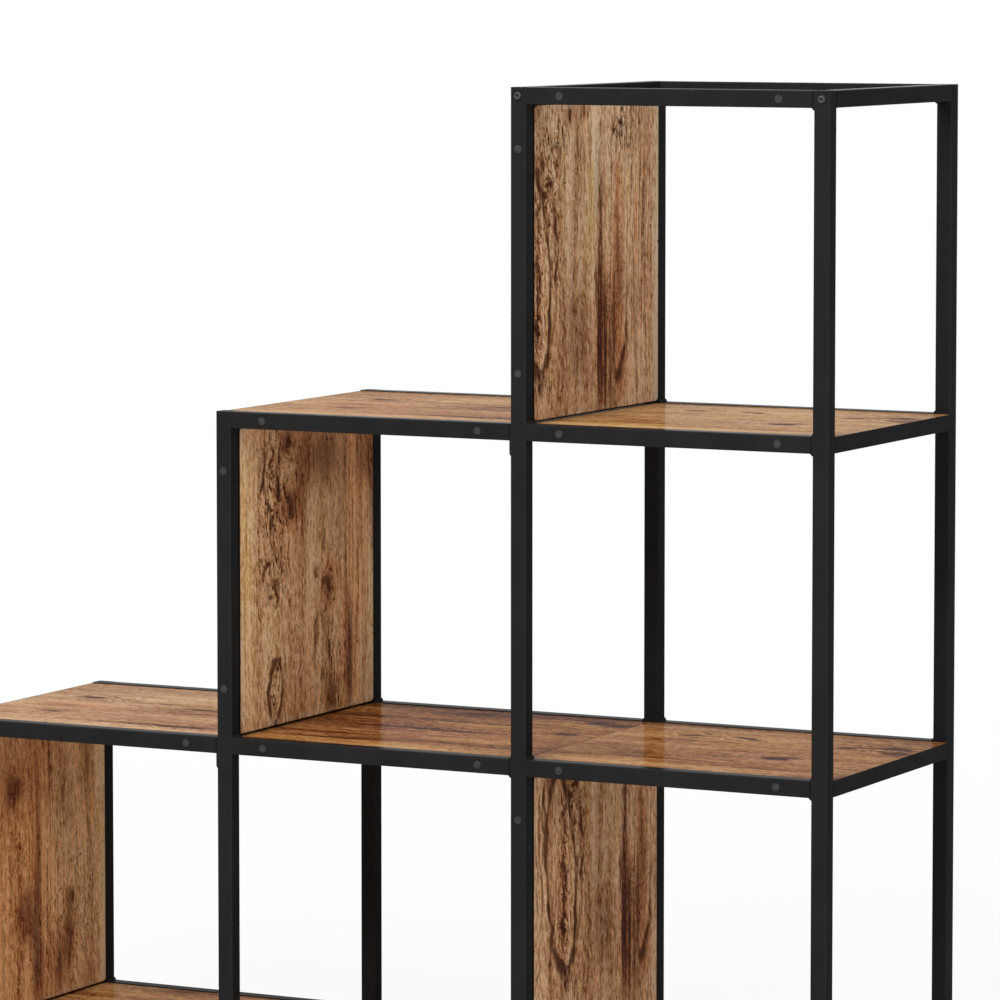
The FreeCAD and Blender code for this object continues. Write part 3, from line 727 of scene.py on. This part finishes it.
def loops(rings, across, along):
    # growth rings round a knot: strength · exp(−((q − 1) · width / line)²) with the ellipse's own
    # radius q = √((across/width)² + (along/length)²), each ring leaning
    field = np.zeros_like(across)
    for middle, height, width, length, lean, line, strength in rings:
        rise = along - height
        aside = across - middle - lean * rise
        radius = np.hypot(aside / width, rise / length)
        field += strength * np.exp(-((radius - 1) * width / line) ** 2)
    return field


def ovals(flaws, across, along):
    # the sum of soft ovals, strength · exp(−|across/width|² − |along/length|^2.5), each one leaning
    field = np.zeros_like(across)
    for middle, height, width, length, lean, strength in flaws:
        rise = along - height
        aside = across - middle - lean * rise
        field += strength * np.exp(-(aside / width) ** 2 - abs(rise / length) ** 2.5)
    return field


def knotField(knots, across, along):
    # dark cores, and how far each knot pushes the grain aside: push · across · r² / (d² + r²)
    shape = boardShape
    cores = np.zeros_like(across)
    push = np.zeros_like(across)
    for middle, height, radius, strength in knots:
        aside, rise = across - middle, along - height
        distance = aside ** 2 + (rise / shape["knotLength"]) ** 2
        cores += strength * np.exp(-distance / (shape["coreShare"] * radius) ** 2)
        push += shape["knotPush"] * aside * radius ** 2 / (distance + radius ** 2)
    return cores, push


def readPrint(printed, across, along):
    # a print's fields at each point, and the place across the grain, bent round the knots
    shape = boardShape

    def noise(kind, aside):
        cell, draw = shape["noises"][kind]
        return noiseField(aside, along, cell, printed["seed"] + draw)

    zones = ("shades", "clouds", "checks", "warm", "grey", "lines")
    fields = {zone: ovals(printed[zone], across, along) for zone in zones}
    fields["cores"], push = knotField(printed["knots"], across, along)
    bent = across - push + shape["grainSway"] * (noise("sway", across) - 0.5)
    wavy = across + shape["crackSway"] * (noise("wander", across) - 0.5)
    patchy = shape["ringLeast"] + shape["ringMore"] * noise("patches", across)
    for field, aside in (("cracks", 0), ("besideCracks", shape["ridgeAside"])):
        fields[field] = (ovals(printed["cracks"], wavy + aside, along)
                         + patchy * loops(printed["rings"], wavy + aside, along))
    fields["bent"] = bent
    fields["fibres"] = 0.6 * noise("fibres", bent) + 0.4 * noise("fine", bent)
    return fields


def sinkFaces(points, low, high, thick, arris, hollow):
    # the points of both large faces move inwards by their hollow, times the distance from the edge
    # over calmEdge where that is under 1
    others = [i for i in range(3) if i != thick]
    edge = np.min(np.minimum(points - low, high - points)[:, others], axis=1)
    depth = points[:, thick]
    onFace = np.minimum(depth - low[thick], high[thick] - depth) < 0.001 * millimetre
    calm = np.clip((edge - arris) / boardShape["calmEdge"], 0, 1) * onFace
    inward = np.where(depth > (low[thick] + high[thick]) / 2, -1.0, 1.0)
    points[:, thick] += inward * hollow * calm


def makeBoard(name, printed, shift, lift, gold):
    # a block with eased edges, whose large faces sink a little at the streaks, knots, cracks and
    # fibres, and whose attributes hold its print
    shape = boardShape
    low, high = (np.array(corner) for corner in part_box(name))
    thick = int(np.argmin(high - low))
    upright = thick == 0
    grainwise = 2 if upright else 0
    steps = [shape["acrossStep"]] * 3
    steps[thick] = shape["thickStep"]
    steps[grainwise] = shape["alongStep"]
    arris = shape["panelArris"] if upright else shape["shelfArris"]
    points, faces = latticeSkin([easedLines(low[i], high[i], steps[i], arris) for i in range(3)])
    points = easeEdges(points, low, high, arris)

    # places on the print, in mm
    across = (points[:, 1] - low[1]) / millimetre - shift[0]
    along = (points[:, grainwise] - low[grainwise]) / millimetre - shift[1]
    depth = (points[:, thick] - low[thick]) / millimetre
    width, length = (high[1] - low[1]) / millimetre, (high[grainwise] - low[grainwise]) / millimetre
    fields = readPrint(printed, across, along)
    hollow = (shape["fibreDepth"] * fields["fibres"]
              + shape["streakDepth"] * np.clip(fields["shades"], 0, 1)
              + shape["knotDepth"] * np.clip(fields["cores"], 0, 1)
              + shape["crackDepth"] * np.clip(fields["cracks"], 0, 1))
    sinkFaces(points, low, high, thick, arris, hollow)

    piece = addPiece(name + "_board", points, faces, rusticWood, "wood", [name])
    spread = 1.0 if upright else shape["shelfSpread"]
    place = [part * millimetre + printed["seed"] for part in (fields["bent"] * spread, along, depth)]
    fromSides = np.minimum(across + shift[0], width - across - shift[0])
    fromEnds = np.minimum(along + shift[1], length - along - shift[1])
    border = np.minimum(fromSides * shape["postJoint"], fromEnds)
    if not upright:
        border = np.full(len(points), 2 * width)    # a shelf has no painted joint shade or edge highlight
    addVector(piece, "grain", place)
    addVector(piece, "flaws", [fields["shades"], fields["cores"], fields["checks"]])
    addVector(piece, "tints", [fields["warm"], fields["grey"], fields["lines"]])
    addVector(piece, "relief", [fields["cracks"], fields["besideCracks"] - fields["cracks"], border])
    speckle = 1.0 if upright else shape["shelfSpeckle"]
    for label, value in (("lift", lift), ("gold", gold), ("speckle", speckle)):
        addNumber(piece, label, np.full(len(points), value))
    addNumber(piece, "cloud", fields["clouds"])


for boardName, settings in boards.items():
    makeBoard(boardName, *settings)
print("boards made:", len(boards))


# Round fittings

def turned(profile, segments, hexagon=0.0):
    # a turned piece about Y with its foot at the origin, facing −Y. The profile is (radius, height)
    # from the middle outwards. Rings up to the hexagon's size take its outline: r / cos(angle).
    angle = np.linspace(0, 2 * np.pi, segments, endpoint=False)
    radius, height = (np.array(part, float)[:, None] for part in zip(*profile))
    sixth = np.pi / 3
    flat = np.cos(np.mod(angle + sixth / 2, sixth) - sixth / 2)
    radius = np.where(radius <= hexagon, radius / flat, radius * np.ones_like(angle))
    rings = np.stack([radius * np.cos(angle), -height * np.ones_like(angle), radius * np.sin(angle)], -1)
    return rings.reshape(-1, 3), ringFaces(len(profile), segments)


def ringFaces(rings, segments):
    # squares between neighbouring rings of points
    index = np.arange(rings * segments).reshape(rings, segments)
    after = np.roll(index, -1, axis=1)
    return np.stack([index[:-1], index[1:], after[1:], after[:-1]], -1).reshape(-1, 4)


def closeEnds(points, faces, segments):
    # the first and the last ring have no size, so the points of each become one
    last = len(points) - 2 * segments + 1
    index = np.clip(np.arange(len(points)) - segments + 1, 0, last)
    return np.concatenate([points[:1], points[segments:segments + last]]), index[faces]


def solidParts(node):
    # the lowest and highest corner of each separate solid of a CAD node
    mesh = nodes[node].data
    points = np.empty(len(mesh.vertices) * 3)
    mesh.vertices.foreach_get("co", points)
    points = np.round(points.reshape(-1, 3), 6)    # to a thousandth of a millimetre
    corners = np.empty(len(mesh.loops), int)
    mesh.loops.foreach_get("vertex_index", corners)
    unique, same = np.unique(points, axis=0, return_inverse=True)
    triangles = same.reshape(-1)[corners].reshape(-1, 3)
    label = np.arange(len(unique))
    while True:
        lowest = label[triangles].min(axis=1)
        before = label.copy()
        np.minimum.at(label, triangles, lowest[:, None])
        if (label == before).all():
            break
    return [(unique[label == one].min(axis=0), unique[label == one].max(axis=0)) for one in np.unique(label)]


def placeCopies(points, faces, spots):
    # copies of one shape: each spot is (x, y, z, turn about Z), where a turn of 0 faces the front.
    # The rounding makes quarter and half turns exact.
    spots = np.asarray(spots, float)
    cosine, sine = np.round(np.cos(spots[:, 3:]), 12), np.round(np.sin(spots[:, 3:]), 12)
    x, y, z = points.T
    copies = np.stack([x * cosine - y * sine, x * sine + y * cosine, z + 0 * cosine], -1) + spots[:, None, :3]
    shifted = faces[None] + (np.arange(len(spots)) * len(points))[:, None, None]
    return copies.reshape(-1, 3), shifted.reshape(-1, faces.shape[1])


capShape = {
    "radius": 4.75 * millimetre,
    "height": 0.8 * millimetre,
    "bow": 0.25,                        # how fast the dome falls, as a share of the height
    "domeRings": (0, 0.3, 0.55, 0.72),  # shares of the radius
    # from the dome's groove over the rolled rim to the foot, in shares of radius and height
    "rim": [(0.78, 0.8), (0.83, 0.98), (0.9, 1), (0.96, 0.84), (1, 0.45), (1, 0), (0, 0)],
    "segments": 40,
}


def makeCaps(face):
    # pressed-in screw caps: a low dome, h = height · (1 − bow · share²), with a rolled rim
    shape = capShape
    dome = [(share, 1 - shape["bow"] * share ** 2) for share in shape["domeRings"]]
    profile = [(shape["radius"] * aside, shape["height"] * rise) for aside, rise in dome + shape["rim"]]
    points, faces = closeEnds(*turned(profile, shape["segments"]), shape["segments"])
    for kind in ("rail", "post"):
        node = face + "_" + kind + "_screw_caps"
        spots = []
        for low, high in solidParts(node):
            middle = (low + high) / 2
            seat, turn = (high[1], 0) if face == "front" else (low[1], math.pi)
            spots.append((middle[0], seat, middle[2], turn))
        addPiece(node + "_domed", *placeCopies(points, faces, spots), greyCap, "grey_cap", [node])


for face in ("front", "rear"):
    makeCaps(face)
print("screw caps made")


boltShape = {
    "headRadius": 4.75 * millimetre,
    "crownRadius": 3.25 * millimetre,
    "headHeight": 2.7 * millimetre,
    "rimHeight": 0.5 * millimetre,
    "socketRadius": 1.5 * millimetre,  # across the flats, halved
    "socketDepth": 1.6 * millimetre,
    "mouth": 0.12 * millimetre,        # the socket's eased mouth
    "shankRadius": 2.5 * millimetre,
    "segments": 48,
}


def makeBolts():
    # button-head bolts of the open top frame. The head bows from its crown to its rim:
    # r = crown + (head − crown) · sin t, h = rim + (height − rim) · cos t
    shape = boltShape
    height, floor = shape["headHeight"], shape["headHeight"] - shape["socketDepth"]
    socket, mouth = shape["socketRadius"], shape["mouth"]
    parts = solidParts("top_frame_bolts")
    length = parts[0][1][1] - parts[0][0][1] - height
    inside = [(0, floor), (socket - mouth, floor), (socket, floor + mouth), (socket, height - mouth)]
    crown = [(socket + mouth, height), (shape["crownRadius"], height)]
    turns = np.radians(range(15, 91, 15))
    bow = [(shape["crownRadius"] + (shape["headRadius"] - shape["crownRadius"]) * math.sin(t),
            shape["rimHeight"] + (height - shape["rimHeight"]) * math.cos(t)) for t in turns]
    shank = [(shape["headRadius"], 0), (shape["shankRadius"], 0), (shape["shankRadius"], -length),
             (0, -length)]
    segments = shape["segments"]
    profile = inside + crown + bow + shank
    points, faces = closeEnds(*turned(profile, segments, hexagon=socket), segments)
    spots = []
    for low, high in parts:
        middle = (low + high) / 2
        seat, turn = (low[1] + height, 0) if middle[1] < 0 else (high[1] - height, math.pi)
        spots.append((middle[0], seat, middle[2], turn))
    piece = addPiece("top_frame_bolts_turned", *placeCopies(points, faces, spots), zinc, "dark_zinc",
                     ["top_frame_bolts"])
    # the socket's corners lie at 1.155 of its half width
    inSocket = (np.hypot(points[:, 0], points[:, 2]) < 1.2 * socket) & (points[:, 1] < -floor / 2)
    # painted shade inside the socket, carried by the "recess" attribute
    addNumber(piece, "recess", np.tile(inSocket.astype(float), len(spots)))


screwShape = {
    "headRadius": 3.5 * millimetre,
    "headHeight": 1.8 * millimetre,
    "crossHalf": 0.42 * millimetre,    # half the width of the recess's arms
    "crossReach": 1.9 * millimetre,
    "crossDepth": 1.1 * millimetre,
    "softness": 0.14 * millimetre,
    "shankRadius": 2.0 * millimetre,
    "rings": 30,
    "segments": 96,
}


def makeJoiningScrews():
    # pan-head screws with a cross recess. The head is a grid of rings: h = height · (1 − 0.5 (r/R)⁴),
    # less the recess where the smaller of |x|, |z| is within an arm's half width
    shape = screwShape
    radius, segments = shape["headRadius"], shape["segments"]
    r = np.linspace(0, radius, shape["rings"])[:, None]
    angle = np.linspace(0, 2 * np.pi, segments, endpoint=False)
    x, z = r * np.cos(angle), r * np.sin(angle)
    nearer, farther = np.minimum(abs(x), abs(z)), np.maximum(abs(x), abs(z))
    soft = shape["softness"]
    recess = (np.clip((shape["crossHalf"] - nearer) / soft + 0.5, 0, 1)
              * np.clip((shape["crossReach"] - farther) / soft + 0.5, 0, 1))
    height = shape["headHeight"] * (1 - 0.5 * (r / radius) ** 4) - shape["crossDepth"] * recess
    head = np.stack([x, -height, z], -1).reshape(-1, 3)
    parts = solidParts("joining_screws")
    length = parts[0][1][0] - parts[0][0][0] - shape["headHeight"]
    below, _ = turned([(radius, 0), (shape["shankRadius"], 0), (shape["shankRadius"], -length), (0, -length)],
                      segments)
    points = np.concatenate([head, below])
    points, faces = closeEnds(points, ringFaces(len(points) // segments, segments), segments)
    spots = [(low[0] + shape["headHeight"], (low[1] + high[1]) / 2, (low[2] + high[2]) / 2, -math.pi / 2)
             for low, high in parts]
    piece = addPiece("joining_screws_turned", *placeCopies(points, faces, spots), zinc, "dark_zinc",
                     ["joining_screws"])
    # painted shade in the cross recess, carried by the "recess" attribute
    recessShade = np.zeros(len(points))
    recessShade[:len(head) - segments + 1] = np.append(recess[0, :1], recess[1:].ravel())
    addNumber(piece, "recess", np.tile(recessShade, len(spots)))


makeBolts()
makeJoiningScrews()
print("bolts and joining screws made")


# Bare CAD nodes take their finish

finishes = {"black_steel": steel, "grey_cap": greyCap, "dark_zinc": zinc, "black_plastic": blackPlastic,
            "wood": rusticWood}
slotOf = {part["node"]: part["material_slot"] for part in frame["record"]["subparts"]}
for name, piece in nodes.items():
    for socket in piece.material_slots:
        socket.material = finishes[slotOf[name]]
print("finishes assigned")


# Floor, background, light and camera

studio = {
    "floorHalf": 30.0,
    "fadeStart": 0.9,
    "fadeEnd": 3.4,
    "floorShare": 0.07,    # how much of the floor's look is its own shading
    "floorTones": ((0.86, 0.86, 0.86, 1), (0.9, 0.9, 0.9, 1)),
    "floorCells": (9, 9, 9),
    "ambient": 0.32,
    "keyPower": 310.0,
    "keySize": 3.0,
    "keyPlace": (-0.3, -4.6, 4.5),
    "fillPower": 60.0,
    "fillSize": 3.0,
    "fillPlace": (4.2, -2.4, 2.6),
    "backPower": 80.0,
    "backSize": 3.0,
    "backPlace": (-1.2, 5.0, 1.6),
    "target": (0.0, 0.0, 0.7),
}


def cameraOrShiny(wire):
    # 1 for what the camera sees, straight, mirrored or through glass, and 0 for diffuse light
    path = [wire.node("LightPath", output=name) for name in
            ("Is Camera Ray", "Is Glossy Ray", "Is Transmission Ray")]
    return path[0].larger(path[1]).larger(path[2])


def makeFloor():
    # pale floor that shows as white, keeps a soft shadow and fades out before its edge
    material, wire = startMaterial("paleFloor")
    place = wire.node("TexCoord", output="Object")
    distance = place.node("VectorMath", {"operation": "LENGTH"}, {0: place}, output="Value")
    fade = distance.step(studio["fadeStart"], studio["fadeEnd"])
    share = cameraOrShiny(wire) * (1 - studio["floorShare"] * (1 - fade))
    mottle = place.scaled(studio["floorCells"]).noise(3.0)
    tone = mottle.blend(*studio["floorTones"])
    matt = wire.node("BsdfDiffuse", None, {"Color": tone})
    white = wire.node("Emission", None, {"Color": (1, 1, 1, 1), "Strength": 1.0})
    both = wire.node("MixShader", None, {0: share, 1: matt, 2: white})
    wire.node("OutputMaterial", None, {"Surface": both})
    half = studio["floorHalf"]
    mesh = bpy.data.meshes.new("floor")
    corners = [(-half, -half, 0), (half, -half, 0), (half, half, 0), (-half, half, 0)]
    mesh.from_pydata(corners, [], [(0, 1, 2, 3)])
    mesh.materials.append(material)
    floor = bpy.data.objects.new("floor", mesh)
    bpy.context.scene.collection.objects.link(floor)


def makeWorld():
    world = bpy.data.worlds.new("studio")
    bpy.context.scene.world = world
    world.use_nodes = True
    world.node_tree.nodes.clear()
    wire = Wire(world.node_tree)
    strength = studio["ambient"] + cameraOrShiny(wire) * (1 - studio["ambient"])
    sky = wire.node("Background", None, {"Color": (1, 1, 1, 1), "Strength": strength})
    wire.node("OutputWorld", None, {"Surface": sky})


def addSoftbox(name, place, size, power):
    # a square lamp of so many watts, turned to the studio's target
    lamp = bpy.data.lights.new(name, "AREA")
    lamp.shape = "SQUARE"
    lamp.size = size
    lamp.energy = power
    softbox = bpy.data.objects.new(name, lamp)
    away = np.array(place) - np.array(studio["target"])
    flat = math.hypot(away[0], away[1])
    softbox.location = place
    softbox.rotation_euler = (math.atan2(flat, away[2]), 0, math.atan2(away[1], away[0]) + math.pi / 2)
    bpy.context.scene.collection.objects.link(softbox)
    return softbox


# The photograph's viewpoint, fitted to the edges of posts and rails; turns are in degrees
viewpoint = {
    "place": (3.0572, -5.8296, 1.3471),
    "turn": 27.0272,
    "pitch": -4.367,
    "lens": 195.464,
    "sensor": 36.0,
    "shiftDown": -0.12,
    "clipEnd": 100.0,
}


def addCamera():
    data = bpy.data.cameras.new("camera")
    data.lens = viewpoint["lens"]
    data.sensor_width = viewpoint["sensor"]
    data.shift_y = viewpoint["shiftDown"]
    data.clip_end = viewpoint["clipEnd"]
    camera = bpy.data.objects.new("camera", data)
    camera.location = viewpoint["place"]
    camera.rotation_euler = (math.radians(90 + viewpoint["pitch"]), 0, math.radians(viewpoint["turn"]))
    bpy.context.scene.collection.objects.link(camera)
    bpy.context.scene.camera = camera


makeFloor()
makeWorld()
addSoftbox("keyLight", studio["keyPlace"], studio["keySize"], studio["keyPower"])
addSoftbox("fillLight", studio["fillPlace"], studio["fillSize"], studio["fillPower"])
backLight = addSoftbox("backLight", studio["backPlace"], studio["backSize"], studio["backPower"])
backLight.visible_glossy = False    # the shelves mirror the plain background
addCamera()
bpy.context.scene.view_settings.view_transform = "Standard"
print("studio made")
